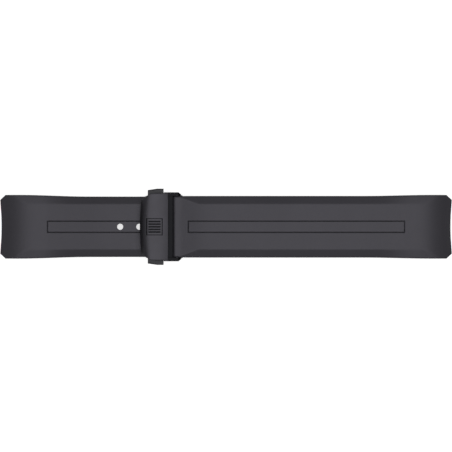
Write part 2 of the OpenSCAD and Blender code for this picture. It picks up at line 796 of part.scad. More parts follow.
module spring_bar_tip(s) on_side(s) color("#9a9da2") {
    translate([pivot_x, 0, pivot_z]) {
        bar_along_y(bar_tip_d / 2, tip_in, tip_out);
        bar_along_y(bar_d / 2 - slide_gap, collar_in, collar_in + collar_t);
    }
}

module spring_bar_spring() color("#9a9da2") {
    translate([pivot_x, slide_gap - tip_in, pivot_z])
        coil(bar_coil_r, bar_wire_d / 2, 2 * (tip_in - slide_gap), bar_turns);
}

holed_strap();
plain_strap();
clasp_cover();
cover_badge();
button(-1);  // front_button
button(1);  // rear_button
latch_hook(-1);  // front_latch_hook
latch_hook(1);  // rear_latch_hook
button_spring(-1);  // front_button_spring
button_spring(1);  // rear_button_spring
guide_rod(-1);  // front_guide_rod
guide_rod(1);  // rear_guide_rod
spring_bridge();
bridge_screws();
upper_blade();
upper_blade_rivets();
clasp_base();
strap_stud();
lower_blade();
lower_blade_rivets();
hinge_pin();
spring_bar_tube();
spring_bar_tip(-1);  // spring_bar_tip_front
spring_bar_tip(1);  // spring_bar_tip_rear
spring_bar_spring();
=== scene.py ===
# A rubber watch strap of two halves, closed by a folding clasp with a rolled cover.
# It lies straight on a pale studio floor and is seen from above, as in the photograph.
import math

import bpy
import numpy as np
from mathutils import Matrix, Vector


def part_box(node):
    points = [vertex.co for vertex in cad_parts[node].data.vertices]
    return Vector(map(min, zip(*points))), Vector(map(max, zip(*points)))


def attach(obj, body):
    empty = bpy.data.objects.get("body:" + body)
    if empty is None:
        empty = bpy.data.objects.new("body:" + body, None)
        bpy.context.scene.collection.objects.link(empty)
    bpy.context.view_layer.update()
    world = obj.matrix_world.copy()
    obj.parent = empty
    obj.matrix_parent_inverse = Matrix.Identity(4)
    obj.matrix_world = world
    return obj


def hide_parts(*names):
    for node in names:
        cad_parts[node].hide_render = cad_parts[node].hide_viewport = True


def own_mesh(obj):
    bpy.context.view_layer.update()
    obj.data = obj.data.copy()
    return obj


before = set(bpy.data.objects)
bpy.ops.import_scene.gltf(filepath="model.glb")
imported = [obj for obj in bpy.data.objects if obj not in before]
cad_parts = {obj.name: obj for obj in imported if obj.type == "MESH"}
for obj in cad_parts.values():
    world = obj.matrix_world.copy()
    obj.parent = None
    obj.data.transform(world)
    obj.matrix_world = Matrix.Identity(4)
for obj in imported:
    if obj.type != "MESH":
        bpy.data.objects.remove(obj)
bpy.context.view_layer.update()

mm = 0.001

# Studio: a seamless white sweep under one large softbox, with a dim room around it.
# The strap is black, so what it shows is the softbox, mirrored softly in its surfaces.
photo_width = 452
photo_scale = 0.3454 * mm
photo_centre_y = 0.27 * mm
camera_height = 2000 * mm
strap_level = 5 * mm
sensor = 36
softbox_size = 3750 * mm
softbox_height = 2500 * mm
softbox_power = 65.6  # watts
room_strength = 0.35
floor_size = 15
floor_gap = 0.05 * mm
floor_lift = 0.68  # how bright the floor glows to the camera
floor_gleam = 0.4  # and what share of that shows in reflections
near_clip = 10 * mm
far_clip = 20


def colour(code):
    """Linear colour of an sRGB hex value such as #2b2b2d."""
    shares = [int(code[i:i + 2], 16) / 255 for i in (1, 3, 5)]
    return [s / 12.92 if s <= 0.04045 else ((s + 0.055) / 1.055) ** 2.4 for s in shares] + [1]


def add_node(material, kind, settings=None, **links):
    """One node of a material. A setting is a property or an input, and a link feeds an input."""
    tree = material.node_tree
    node = tree.nodes.new(kind)
    for name, value in (settings or {}).items():
        if name in node.inputs:
            node.inputs[name].default_value = value
        else:
            setattr(node, name, value)
    for name, source in links.items():
        tree.links.new(source, node.inputs[name.replace("_", " ")])
    return node


def deselect():
    bpy.ops.object.select_all(action="DESELECT")


def new_material(name):
    """A material with no nodes yet."""
    material = bpy.data.materials.new(name)
    material.use_nodes = True
    material.node_tree.nodes.clear()
    return material


def put_material(piece, material):
    piece.data.materials.clear()
    piece.data.materials.append(material)


deselect()
bpy.ops.mesh.primitive_plane_add(size=floor_size, location=(0, 0, -floor_gap))
floor = bpy.context.object
floor.name = "floor"

# Matt white paper: even, without gloss, and bright enough to the camera to leave only a shadow
paper = new_material("matt_white_paper")
rays = add_node(paper, "ShaderNodeLightPath")
seen = add_node(paper, "ShaderNodeMath", {"operation": "MULTIPLY_ADD"})
paper.node_tree.links.new(rays.outputs["Is Glossy Ray"], seen.inputs[0])
seen.inputs[1].default_value = floor_gleam
paper.node_tree.links.new(rays.outputs["Is Camera Ray"], seen.inputs[2])
lift = add_node(paper, "ShaderNodeMath", {"operation": "MULTIPLY"})
paper.node_tree.links.new(seen.outputs[0], lift.inputs[0])
lift.inputs[1].default_value = floor_lift
sheet = add_node(paper, "ShaderNodeBsdfDiffuse", {"Color": colour("#d2d2d2")})
glow = add_node(paper, "ShaderNodeEmission", {"Color": colour("#ffffff")},
                Strength=lift.outputs[0])
both = add_node(paper, "ShaderNodeAddShader")
paper.node_tree.links.new(sheet.outputs[0], both.inputs[0])
paper.node_tree.links.new(glow.outputs[0], both.inputs[1])
add_node(paper, "ShaderNodeOutputMaterial", Surface=both.outputs[0])
put_material(floor, paper)

bpy.ops.object.light_add(type="AREA", location=(0, 0, softbox_height))
softbox = bpy.context.object
softbox.name = "softbox"
softbox.data.size = softbox_size
softbox.data.energy = softbox_power

room = bpy.data.worlds.new("room")
room.use_nodes = True
room.node_tree.nodes["Background"].inputs["Color"].default_value = colour("#ffffff")
room.node_tree.nodes["Background"].inputs["Strength"].default_value = room_strength
bpy.context.scene.world = room

bpy.ops.object.camera_add(location=(0, photo_centre_y, camera_height))
camera = bpy.context.object
camera.name = "camera"
camera.data.sensor_width = sensor
camera.data.lens = sensor * (camera_height - strap_level) / (photo_width * photo_scale)
camera.data.clip_start = near_clip
camera.data.clip_end = far_clip
bpy.context.scene.camera = camera
bpy.context.scene.view_settings.view_transform = "Standard"

# Holed half of the strap: black rubber, pressed in a mould that gives it its course, its two
# long bevels and the fine groove line. The adjustment holes are punched, and the case end
# is cut hollow to hug the watch and bored for the spring bar of the case.
touching = 0.001 * mm  # nearer than this is the same place
near = 0.01 * mm  # and nearer than this is beside it
cut_merge = 1e-7  # what a cut may merge, small enough to leave short edges alone
smooth_angle = 30

tip_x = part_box("plain_strap")[1].x
tail_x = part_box("holed_strap")[1].x
stud_x = (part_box("strap_stud")[0].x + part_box("strap_stud")[1].x) / 2
pivot_x = (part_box("spring_bar_tube")[0].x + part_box("spring_bar_tube")[1].x) / 2
hinge_x = (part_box("hinge_pin")[0].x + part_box("hinge_pin")[1].x) / 2
cover_x0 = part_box("clasp_cover")[0].x
base_t = 0.9 * mm
tail_z = base_t + 0.05 * mm

# Cross section of the strap, and how its bevels soften towards the case ends
strap_half = 10.55 * mm
end_half = 11 * mm
strap_t = 3.4 * mm
tail_t = 2.3 * mm
bevel_h = 1.35 * mm
bevel_w = 2.78 * mm
least_bevel = 0.18
shallow_from = 12 * mm
shallow_to = 27 * mm
shallow_bevel = 0.6
lower_chamfer = 0.4 * mm
ridge_round = 0.22 * mm
bevel_fade_from = 3 * mm
bevel_fade_to = 11 * mm

# Case end: the top rolls down, the sides widen, the face is hollow and its corners are cut
shoulder_h = 5.1 * mm
end_fall = 0.6
end_straight = 2 * mm
shoulder_x = tip_x - 11.65 * mm
widening_from = 6 * mm
widening_to = 31 * mm
holed_half_w = 10.45 * mm
case_r = 90 * mm
corner_l = 1.9 * mm
corner_w = 1.75 * mm
end_face_l = 3 * mm
bore_inset = 3 * mm
bore_r = 0.95 * mm
bore_z = 4.074 * mm
end_edge_r = 0.16 * mm

# Course of the holed half: it dips to the clasp's mouth, and its thinner tail arches there
dip_lead = 2.4 * mm
mouth_lead = 0.5 * mm
level_run = 3.4 * mm
taper_lead = 9.6 * mm
arch_h = 1.2 * mm
arch_x0 = pivot_x + 2.3 * mm

# Adjustment holes, counted from the one that the stud sits in, and the tail's rounded corners
first_hole, last_hole = -2, 3
hole_r = 1.06 * mm
hole_pitch = 6.6 * mm
hole_edge = 0.04 * mm
punch_over = 1 * mm
tail_end_l = 4.3 * mm
tail_corner_r = 4 * mm
tail_cut_angles = range(6, 90, 13)

# Groove line, a V that runs round a long narrow field. The field and the top layer that it is
# cut into keep their sizes when the strap is pressed into its course, step by step.
groove_half = 1.93 * mm
groove_w = 0.44 * mm
groove_d = 0.4 * mm
groove_wall = 0.42  # share of its width that each sloped wall takes
groove_zone = 0.6 * mm
groove_inset = 16.5 * mm
groove_field = 4 * mm
station_step = 0.6 * mm

flat_half = strap_half - bevel_w
side_top = strap_t - bevel_h
end_sink = shoulder_h - strap_t * (math.hypot(1, end_fall) - 1)
end_roll_l = 2 * (end_sink / end_fall - end_straight)
dip_x = dip_lead - shoulder_x
mouth_x = cover_x0 - mouth_lead
dip_angle = math.atan((shoulder_h - tail_z) / (mouth_x - level_run - dip_x))
dip_r = level_run / math.sin(dip_angle)
taper_x = mouth_x - taper_lead


def ease(t):
    """Smooth step from 0 to 1."""
    return (1 - math.cos(math.pi * min(1, max(0, t)))) / 2


def mix(a, b, t):
    return a + (b - a) * t


def roll(distance, radius, angle):
    """Drop along a curve of that radius, which then runs on straight at that angle."""
    reach = radius * math.sin(angle)
    if distance <= 0:
        return 0
    if distance < reach:
        return radius - math.sqrt(radius ** 2 - distance ** 2)
    return radius * (1 - math.cos(angle)) + (distance - reach) * math.tan(angle)


def end_drop(x):
    """How far the strap's top has sunk towards a case end, at a slope that grows evenly."""
    along = max(0, abs(x) - tip_x + end_straight + end_roll_l)
    if along < end_roll_l:
        return end_fall * along ** 2 / (2 * end_roll_l)
    return end_fall * (along - end_roll_l / 2)


def end_thick(x):
    """How much thicker the strap measures along Z where its end slopes."""
    along = abs(x) - tip_x + end_straight + end_roll_l
    return math.hypot(1, end_fall * min(1, max(0, along / end_roll_l)))


def end_under(x):
    """How far the strap's underside has sunk towards a case end, where it is measured thicker."""
    return end_drop(x) + strap_t * (end_thick(x) - 1)


def from_end(x, start, finish):
    """Smooth step from 0 to 1 between two distances from the nearer case end."""
    return ease((tip_x - abs(x) - start) / (finish - start))


def half_at(x, body):
    """Half width of the strap, which widens from its body to its case ends."""
    return mix(end_half, body, from_end(x, widening_from, widening_to))


def end_bevel(x):
    """Share of the whole bevel that is left, which fades out close to the case ends."""
    return mix(least_bevel, 1, from_end(x, bevel_fade_from, bevel_fade_to))


def bevel_level(x):
    """Share of the bevel's full height, which eases off towards the case ends."""
    return mix(shallow_bevel, 1, from_end(x, shallow_from, shallow_to))


def arch(x):
    """How far the tail arches up inside the clasp."""
    middle, reach = (arch_x0 + hinge_x) / 2, (hinge_x - arch_x0) / 2
    if abs(x - middle) >= reach:
        return 0
    return arch_h * (1 + math.cos(math.pi * (x - middle) / reach)) / 2


def holed_under(x):
    """Height of the holed half's underside, which dips to the base and arches in the clasp."""
    return (shoulder_h - end_under(x) - roll(x - dip_x, dip_r, dip_angle)
            + roll(x - mouth_x + level_run, dip_r, dip_angle) + arch(x))


def holed_section(x):
    """Underside, thickness, half width and share of the bevel at a place along the holed half."""
    thickness = mix(strap_t, tail_t, ease((x - dip_x) / (taper_x - dip_x))) * end_thick(x)
    return holed_under(x), thickness, half_at(x, holed_half_w), end_bevel(x)


def object_mode():
    if bpy.context.mode != "OBJECT":
        bpy.ops.object.mode_set(mode="OBJECT")


def edit_mode():
    bpy.ops.object.mode_set(mode="EDIT")


def clear_selection(mesh):
    for part in (mesh.vertices, mesh.edges, mesh.polygons):
        part.foreach_set("select", [False] * len(part))


def select(kind, test):
    """Selects vertices by their place, edges by their two ends, or faces by centre and normal."""
    object_mode()
    mesh = bpy.context.object.data
    clear_selection(mesh)
    points = np.empty(3 * len(mesh.vertices))
    mesh.vertices.foreach_get("co", points)
    points = points.reshape(-1, 3)
    if kind == "VERT":
        for vertex, point in zip(mesh.vertices, points):
            vertex.select = bool(test(point))
    elif kind == "EDGE":
        for edge in mesh.edges:
            edge.select = bool(test(points[edge.vertices[0]], points[edge.vertices[1]]))
    else:
        for face in mesh.polygons:
            face.select = bool(test(face.center, face.normal))
    edit_mode()
    bpy.ops.mesh.select_mode(type=kind)


def cut(point, normal, keep_below=False):
    """Cuts the whole mesh along a plane, and takes away what lies beyond it if asked to."""
    bpy.ops.mesh.select_all(action="SELECT")
    bpy.ops.mesh.bisect(plane_co=point, plane_no=normal, use_fill=keep_below,
                        clear_outer=keep_below, threshold=cut_merge)


def block(name, low, high):
    """A block between two corners, as the start of a piece, in edit mode."""
    object_mode()
    deselect()
    bpy.ops.mesh.primitive_cube_add(size=1, location=[(a + b) / 2 for a, b in zip(low, high)],
                                    scale=[b - a for a, b in zip(low, high)])
    bpy.context.object.name = name
    bpy.ops.object.transform_apply(location=True, rotation=True, scale=True)
    edit_mode()
    return bpy.context.object


def pick(piece):
    """Leaves edit mode with this piece selected alone, and active."""
    object_mode()
    deselect()
    piece.select_set(True)
    bpy.context.view_layer.objects.active = piece


def combine(piece, other, operation):
    """Works the other shape into the piece, and removes it."""
    pick(piece)
    boolean = piece.modifiers.new("boolean", "BOOLEAN")
    boolean.object = other
    boolean.operation = operation
    boolean.solver = "EXACT"
    bpy.ops.object.modifier_apply(modifier=boolean.name)
    bpy.data.objects.remove(other)
    bpy.context.view_layer.objects.active = piece


def drill(piece, cutter):
    """Takes the cutter's shape out of the piece."""
    combine(piece, cutter, "DIFFERENCE")


def rod(name, radius, low, high, across=False, sides=48):
    """A round bar from low to high, upright or across the strap, in object mode."""
    object_mode()
    deselect()
    length = (high[1] - low[1]) if across else (high[2] - low[2])
    bpy.ops.mesh.primitive_cylinder_add(vertices=sides, radius=radius, depth=length,
                                        location=[(a + b) / 2 for a, b in zip(low, high)],
                                        rotation=(math.pi / 2 if across else 0, 0, 0))
    bpy.context.object.name = name
    bpy.ops.object.transform_apply(location=True, rotation=True, scale=True)
    return bpy.context.object


def straight_bar(name, x0, x1, groove_x0, groove_x1, round_end=()):
    """A strap half before it takes its course: straight, with bevels, chamfers and groove."""
    bar = block(name, (x0, -strap_half, 0), (x1, strap_half, strap_t))
    for side in (-1, 1):
        cut((0, side * flat_half, strap_t), (0, side * bevel_h, bevel_w), keep_below=True)
        cut((0, side * strap_half, lower_chamfer), (0, side, -1), keep_below=True)
    ridges = [(flat_half, strap_t), (strap_half, side_top), (strap_half, lower_chamfer),
              (strap_half - lower_chamfer, 0)]
    select("EDGE", lambda a, b: abs(a[1] - b[1]) < touching and abs(a[2] - b[2]) < touching
           and any(abs(abs(a[1]) - y) < near and abs(a[2] - z) < near for y, z in ridges))
    bpy.ops.mesh.bevel(offset=ridge_round, segments=3, profile=0.5)
    # Leaving edit mode for a moment settles the order of the vertices before the cuts
    object_mode()
    edit_mode()
    # Lines along the bar for the groove, its field and the ridges, and then lines across it
    # for the groove's ends and for the steps of the course
    beside_ridge = 3 * ridge_round
    lines = [groove_half - groove_w / 2, groove_half + groove_w / 2, groove_field,
             flat_half - beside_ridge, flat_half + beside_ridge, strap_half - beside_ridge]
    for y in [0] + lines + [-line for line in lines]:
        cut((0, y, 0), (0, 1, 0))
    for x in (groove_x0, groove_x1):
        for edge in (x - groove_w / 2, x + groove_w / 2):
            cut((edge, 0, 0), (1, 0, 0))
    steps = round((x1 - x0) / station_step)
    for step in range(1, steps):
        cut((mix(x0, x1, step / steps), 0, 0), (1, 0, 0))
    for x in round_end:
        cut((x, 0, 0), (1, 0, 0))
    cut((0, 0, side_top - 2 * ridge_round), (0, 0, 1))

    def in_groove(centre, normal):
        x, y, z = centre
        if normal[2] < 0.9 or z < strap_t - near:
            return False
        outer = (groove_x0 - groove_w / 2 < x < groove_x1 + groove_w / 2
                 and abs(y) < groove_half + groove_w / 2)
        inner = (groove_x0 + groove_w / 2 < x < groove_x1 - groove_w / 2
                 and abs(y) < groove_half - groove_w / 2)
        return outer and not inner

    select("FACE", in_groove)
    bpy.ops.mesh.inset(thickness=groove_w * groove_wall, depth=-groove_d, use_even_offset=True)
    object_mode()
    return bar


def press(bar, section, outer_end):
    """Presses the straight bar into its course, and hollows its case end."""
    points = np.empty(3 * len(bar.data.vertices))
    bar.data.vertices.foreach_get("co", points)
    points = points.reshape(-1, 3)
    sections = {}
    for point in points:
        x, y, z = point
        if x not in sections:
            sections[x] = (*section(x), bevel_level(x))
        under, thickness, half, bevel, level = sections[x]
        out = abs(y)
        flat = half - (bevel_w + half - strap_half) * bevel
        wide = np.interp(out, [0, groove_field, flat_half, strap_half],
                         [0, groove_field, flat, half])
        drop = bevel_h * max(0, out - flat_half) / bevel_w
        top = strap_t - drop
        new_top = thickness - drop * bevel * level
        squeeze = min(1, thickness / tail_t)
        height = np.interp(z, [0, lower_chamfer, top - groove_zone, top],
                           [0, lower_chamfer * squeeze, new_top - groove_zone * squeeze, new_top])
        if z > top:  # np.interp stops at the top, and a point above it keeps its distance
            height = new_top + z - top
        near_end = min(1, max(0, 1 - (tip_x - outer_end * x) / end_face_l))
        hollow = (math.sqrt(case_r ** 2 - min(wide, end_half) ** 2)
                  - math.sqrt(case_r ** 2 - (end_half - corner_w) ** 2))
        point[0] = x - outer_end * near_end * hollow
        point[1] = math.copysign(wide, y)
        point[2] = under + height
    bar.data.vertices.foreach_set("co", points.ravel())
    bar.data.update()


def round_edges(piece, width, test, sharper_than, segments=2):
    """Rounds the edges that turn by more degrees than that and whose ends both pass the test."""
    object_mode()
    bpy.context.view_layer.objects.active = piece
    edit_mode()
    bpy.ops.mesh.select_mode(type="EDGE")
    bpy.ops.mesh.select_all(action="DESELECT")
    bpy.ops.mesh.edges_select_sharp(sharpness=math.radians(sharper_than))
    object_mode()
    mesh = piece.data
    chosen = [edge.index for edge in mesh.edges
              if edge.select and all(test(mesh.vertices[v].co) for v in edge.vertices)]
    clear_selection(mesh)
    for index in chosen:
        mesh.edges[index].select = True
    edit_mode()
    bpy.ops.mesh.bevel(offset=width, segments=segments, profile=0.5, clamp_overlap=True)
    object_mode()


def cut_case_end(piece, outer_end):
    """Cuts a case end's two corners, rounds its edges and bores it for the case's spring bar."""
    edit_mode()
    for side in (-1, 1):
        cut((outer_end * (tip_x - corner_l), side * end_half, 0),
            (outer_end * corner_w, side * corner_l, 0), keep_below=True)
    round_edges(piece, end_edge_r, lambda p: outer_end * p[0] > tip_x - 1.1 * corner_l,
                sharper_than=38)
    bore_x = outer_end * (tip_x - bore_inset)
    drill(piece, rod("bore", bore_r, (bore_x, -2 * end_half, bore_z),
                     (bore_x, 2 * end_half, bore_z), across=True))


def smooth(piece, degrees=smooth_angle):
    pick(piece)
    bpy.ops.object.shade_smooth_by_angle(angle=math.radians(degrees))


def punch(x):
    """A punch for one adjustment hole, flared at both ends to break the hole's edges."""
    flare = rod("punch", hole_r, (x, 0, -punch_over), (x, 0, strap_t + punch_over))
    edit_mode()
    cut((0, 0, hole_edge), (0, 0, 1))
    cut((0, 0, strap_t - hole_edge), (0, 0, 1))
    select("VERT", lambda p: abs(p[2] - strap_t / 2) > strap_t / 2 + punch_over / 2)
    wide = (hole_r + hole_edge + punch_over) / hole_r
    bpy.ops.transform.resize(value=(wide, wide, 1), center_override=(x, 0, 0))
    object_mode()
    return flare


holed = straight_bar("holed_half", -tip_x, tail_x,
                     groove_inset - tip_x, tail_x - tail_end_l + groove_half)
edit_mode()
for side in (-1, 1):
    middle_x, middle_y = tail_x - tail_corner_r, side * (strap_half - tail_corner_r)
    for angle in tail_cut_angles:
        turn_x, turn_y = math.cos(math.radians(angle)), side * math.sin(math.radians(angle))
        cut((middle_x + tail_corner_r * turn_x, middle_y + tail_corner_r * turn_y, 0),
            (turn_x, turn_y, 0), keep_below=True)
object_mode()
for number in range(first_hole, last_hole + 1):
    drill(holed, punch(stud_x + number * hole_pitch))
press(holed, holed_section, -1)
cut_case_end(holed, -1)
smooth(holed)

# Moulded rubber: matt, with the fine even grain of a spark-eroded mould and faint flow clouds.
# The real grain is finer than a pixel of the picture, so it is drawn as coarse as one.
rubber = new_material("moulded_black_rubber")
place = add_node(rubber, "ShaderNodeTexCoord").outputs["Object"]
grain = add_node(rubber, "ShaderNodeTexNoise",
                 {"Scale": 1 / (0.35 * mm), "Detail": 2, "Roughness": 0.6}, Vector=place)
clouds = add_node(rubber, "ShaderNodeTexNoise",
                  {"Scale": 1 / (14 * mm), "Detail": 3, "Roughness": 0.5}, Vector=place)
tone = add_node(rubber, "ShaderNodeValToRGB", Fac=clouds.outputs["Fac"])
for stop, position, code in zip(tone.color_ramp.elements, (0.3, 0.7), ("#1c1b1f", "#201f23")):
    stop.position, stop.color = position, colour(code)
gloss = add_node(rubber, "ShaderNodeMapRange",
                 {"From Min": 0.3, "From Max": 0.7, "To Min": 0.43, "To Max": 0.51},
                 Value=grain.outputs["Fac"])
bump = add_node(rubber, "ShaderNodeBump", {"Strength": 0.35, "Distance": 0.02 * mm},
                Height=grain.outputs["Fac"])
skin = add_node(rubber, "ShaderNodeBsdfPrincipled",
                {"IOR": 1.525, "Specular Tint": colour("#f6f3ff")},
                Base_Color=tone.outputs["Color"], Roughness=gloss.outputs["Result"],
                Normal=bump.outputs["Normal"])
add_node(rubber, "ShaderNodeOutputMaterial", Surface=skin.outputs[0])
put_material(holed, rubber)
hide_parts("holed_strap")
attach(holed, "base")

# Plain half of the strap: the same moulded rubber. Its thin rounded end turns on the clasp's
# spring bar, and from there it thickens, rises over the blades and bows to its case end.
pivot_z = (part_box("spring_bar_tube")[0].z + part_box("spring_bar_tube")[1].z) / 2
plain_half_w = 10.63 * mm
bar_end_r = 1.4 * mm
bar_bore_r = 0.95 * mm
end_reach = 1.5 * mm
end_square = 2.5  # the end's upper quarter is squarer than a circle, whose power is 2
ridge_from = 1.1 * mm
ridge_to = 7.4 * mm
bow_h = 1.3 * mm
neck_run = 14.5 * mm
neck_rise_h = 2.1 * mm
neck_start, neck_even = 0.12, 0.4  # shares of the neck's run
top_bow = 0.46
neck_under_run = 6 * mm
free_run = 8 * mm
groove_neck_l = 3.9 * mm
blade_clear = 0.3 * mm
beside_lug_l = 1.5 * mm
strap_top = pivot_z + bar_end_r + neck_rise_h
plate_top = pivot_z - bar_end_r - 0.15 * mm
over_blade_z = plate_top + arch_h + blade_clear


def bow(x):
    """How far the plain half bows up between the spring bar and its shoulder."""
    t = (x - pivot_x) / (shoulder_x - pivot_x)
    return 0 if t <= 0 or t >= 1 else bow_h * (1 - math.cos(2 * math.pi * t)) / 2


def neck_rise(t):
    """Share of the neck's rise, which starts softly, runs evenly and then fades out."""
    t = min(1, max(0, t))
    whole = neck_even - neck_start / 2 + (1 - neck_even) / 2
    if t < neck_start:
        return t ** 2 / (2 * neck_start) / whole
    if t < neck_even:
        return (t - neck_start / 2) / whole
    return 1 - (1 - t) ** 2 / (2 * (1 - neck_even)) / whole


def plain_under(x):
    """Height of the plain half's underside, which rises over the blades and bows."""
    if x < hinge_x:
        rise = ease((x - pivot_x) / neck_under_run)
        return mix(pivot_z - bar_end_r, over_blade_z, rise) + bow(x)
    return mix(over_blade_z, shoulder_h, ease((x - hinge_x) / free_run)) + bow(x) - end_under(x)


def plain_section(x):
    """Underside, thickness, half width and share of the bevel at a place along the plain half."""
    if x < pivot_x:
        reach = min(1, (pivot_x - x) / end_reach)
        above = bar_end_r * (1 - reach ** end_square) ** (1 / end_square)
        below = bar_end_r * math.sqrt(1 - reach ** 2)
        return pivot_z - below, below + above, strap_half, least_bevel * above / bar_end_r
    rise = neck_rise((x - pivot_x) / neck_run)
    ridge = min(1, max(0, (x - pivot_x - ridge_from) / (ridge_to - ridge_from)))
    top = (mix(strap_top, shoulder_h + strap_t, ease((x - hinge_x) / (shoulder_x - hinge_x)))
           - neck_rise_h * (1 - rise) + top_bow * bow(x) - end_drop(x))
    under = plain_under(x)
    body = mix(strap_half, plain_half_w, ease((x - pivot_x - beside_lug_l) / beside_lug_l))
    return under, top - under, half_at(x, body), mix(least_bevel, end_bevel(x), ridge)


round_end = [pivot_x - end_reach * math.sin(math.radians(angle)) for angle in range(12, 90, 6)]
plain_x0 = round_end.pop()
plain = straight_bar("plain_half", plain_x0, tip_x,
                     pivot_x + groove_neck_l, tip_x - groove_inset, round_end)
press(plain, plain_section, 1)
cut_case_end(plain, 1)
drill(plain, rod("bore", bar_bore_r, (pivot_x, -2 * strap_half, pivot_z),
                 (pivot_x, 2 * strap_half, pivot_z), across=True))
smooth(plain)
put_material(plain, rubber)
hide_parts("plain_strap")
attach(plain, "plain_strap")

# Clasp cover: stainless steel, pressed into a roll, blasted to a satin and coated black. Its two
# lugs hold the plain half's spring bar and are polished before coating. Windows in its side
# walls let the push buttons through, and the plate between the lugs carries the upper blade.
trim = 1 * mm  # what blanks and cutters stand over before the cover is trimmed
cover_x1 = cover_x0 + 9.8 * mm
cover_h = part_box("clasp_cover")[1].z
cover_half = 11.6 * mm
plate_z = 3.4 * mm
roll_h = 4.5 * mm
cover_drop = 0.83 * mm
bulge_r = 80 * mm
cover_corner_l = 6 * mm
cover_corner_w = 3 * mm
shoulder_w = 0.5 * mm
shoulder_drop = 0.25 * mm
rim_r = 0.12 * mm
back_edge_r = 0.22 * mm
back_edge_zone = 0.3 * mm
crest_share = 0.489  # where the roll is highest, as a share of its length
roll_square = 2.5  # its front is squarer than a circle, whose power is 2
wall_x = cover_x1 + 0.5 * mm
foot_rows, top_rows = 2, 36
corner_columns, flat_columns = 14, 24
cover_rows = foot_rows + top_rows + 1
cover_columns = 2 * corner_columns + flat_columns

# Cavity for the buttons and springs, the two lugs, and the cross plate between them
roof_t = 1.2 * mm
cavity_x0 = cover_x0 + 2.9 * mm
cavity_x1 = cover_x1 - 1.1 * mm
cavity_half = 10 * mm
cavity_top = cover_h - roof_t
cavity_bend_l = 1.5 * mm
cavity_bend_h = 1.9 * mm
lug_in = strap_half + 0.1 * mm
lug_out = lug_in + 1.25 * mm
lug_x1 = pivot_x + 1.5 * mm
lug_h = 7.5 * mm
lug_round = 1.5 * mm
lug_slant_l = 1 * mm
lug_slant_w = 0.85 * mm
lug_edge = 0.14 * mm
blade_t = 0.8 * mm
lap_l = 3 * mm
plate_x1 = pivot_x + 2.3 * mm
cross_x0 = cavity_x1 + 0.3 * mm
cross_half = lug_in + 0.2 * mm
rivet_gap = 0.01 * mm
tip_bore_r = 0.55 * mm
tip_bore_end = lug_in + 0.7 * mm

# Windows for the buttons, recesses for the base's ears, and the badge's seat in the roll
button_x0, button_x1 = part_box("rear_button")[0].x, cover_x1 - 1.55 * mm
button_z0, button_z1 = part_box("rear_button")[0].z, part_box("rear_button")[1].z
slide_gap = 0.05 * mm
ear_x0, ear_x1 = cavity_x1 - 3.9 * mm, cavity_x1 - 0.4 * mm
ear_top = button_z0 - 0.25 * mm
ear_in = cavity_half - 0.1 * mm
ear_gap = 0.2 * mm
ear_gap_top = 0.15 * mm
badge_l = 5.65 * mm
badge_w = 5.9 * mm
badge_d = 0.35 * mm
badge_x0 = stud_x - badge_l / 2 - 1.27 * mm
badge_steps = 16


def cover_top(x, y=0):
    """Height of the cover's rolled top, which sinks a little at its long edges."""
    front = cover_x0 + y * y / (2 * bulge_r)
    crest = mix(front, cover_x1, crest_share)
    out = min(1, max(0, abs(y) - cover_half + shoulder_w) / shoulder_w)
    sink = shoulder_drop * (1 - math.sqrt(1 - out * out))
    if x < crest:
        rise = max(0, 1 - ((crest - x) / (crest - front)) ** roll_square) ** (1 / roll_square)
        return cover_h - sink - roll_h * (1 - rise)
    return cover_h - sink - cover_drop * ((x - crest) / (cover_x1 - crest)) ** 2


def cover_point(row, column):
    """Place on the cover's outer face, from its front foot over the roll to past its back wall."""
    flat = cover_half - cover_corner_w
    turn = 0
    if column < corner_columns:
        turn = math.pi / 2 * (1 - column / corner_columns)
        y = -flat - cover_corner_w * math.sin(turn)
    elif column > corner_columns + flat_columns:
        turn = math.pi / 2 * (column - corner_columns - flat_columns) / corner_columns
        y = flat + cover_corner_w * math.sin(turn)
    else:
        y = mix(-flat, flat, (column - corner_columns) / flat_columns)
    edge = cover_x0 + y * y / (2 * bulge_r) + cover_corner_l * (1 - math.cos(turn))
    if row <= foot_rows:
        return edge, y, mix(plate_z - trim, cover_top(edge, y), row / foot_rows)
    row -= foot_rows
    if row > top_rows:
        return wall_x, y, plate_z - trim
    x = mix(edge, wall_x, (row / top_rows) ** 2)
    return x, y, cover_top(x, y)


def unite(piece, addition):
    """Makes one closed shape of the piece and the addition."""
    combine(piece, addition, "UNION")


def cut_lug_slant(side):
    """Cuts the slant at the outer corner of a lug's end."""
    cut((lug_x1, side * (lug_out - lug_slant_w), 0), (lug_slant_w, side * lug_slant_l, 0),
        keep_below=True)


# The roll is a grid laid over its outer face, closed at its sides and below, and cut off flat
# at the back
object_mode()
deselect()
bpy.ops.mesh.primitive_grid_add(x_subdivisions=cover_rows, y_subdivisions=cover_columns, size=1)
cover = bpy.context.object
cover.name = "rolled_cover"
for vertex in cover.data.vertices:
    vertex.co = cover_point(round((vertex.co.x + 0.5) * cover_rows),
                            round((vertex.co.y + 0.5) * cover_columns))
for side in (-1, 1):
    select("VERT", lambda p: abs(p[1] - side * cover_half) < touching)
    bpy.ops.mesh.edge_face_add()
select("VERT", lambda p: abs(p[2] - plate_z + trim) < touching)
bpy.ops.mesh.edge_face_add()
bpy.ops.mesh.select_all(action="SELECT")
bpy.ops.mesh.normals_make_consistent(inside=False)
cut((cover_x1, 0, 0), (1, 0, 0), keep_below=True)
round_edges(cover, back_edge_r, lambda p: p[0] > cover_x1 - touching,
            sharper_than=40, segments=3)
round_edges(cover, rim_r, lambda p: p[0] < cover_x1 - back_edge_zone and p[2] > plate_z - trim / 2,
            sharper_than=35)

